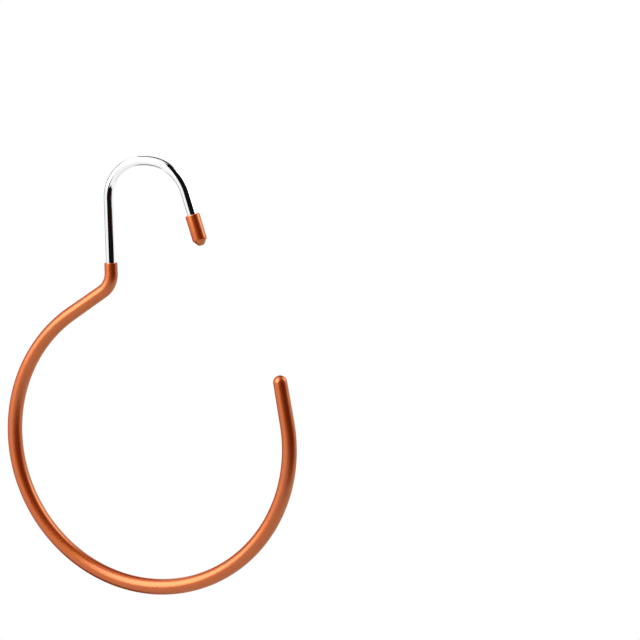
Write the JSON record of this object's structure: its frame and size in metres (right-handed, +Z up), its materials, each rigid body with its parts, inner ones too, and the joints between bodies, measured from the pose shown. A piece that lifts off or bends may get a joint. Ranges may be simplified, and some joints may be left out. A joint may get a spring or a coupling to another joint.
{
  "type": "scarf hanger",
  "caption": "Open-ring scarf hanger: a chrome wire hook hangs on a wardrobe rail and carries a vinyl-coated open ring that scarves slide onto over its free end.",
  "frame": {"origin": "the saddle: the underside of the hook's crown, where the top of a rail touches it", "axes": "+X towards the hook's open side, +Y along the rail and square to the hanger's plane, +Z up"},
  "size_m": [0.1312, 0.0066, 0.1846],
  "materials": {
    "chrome_wire": "bright chrome plating on steel wire",
    "orange_vinyl": "satin vinyl with a fine metallic pigment"
  },
  "bodies": {
    "root": {"steel_wire": "chrome_wire", "ring_coating": "orange_vinyl", "hook_tip_cap": "orange_vinyl"}
  },
  "joints": []
}
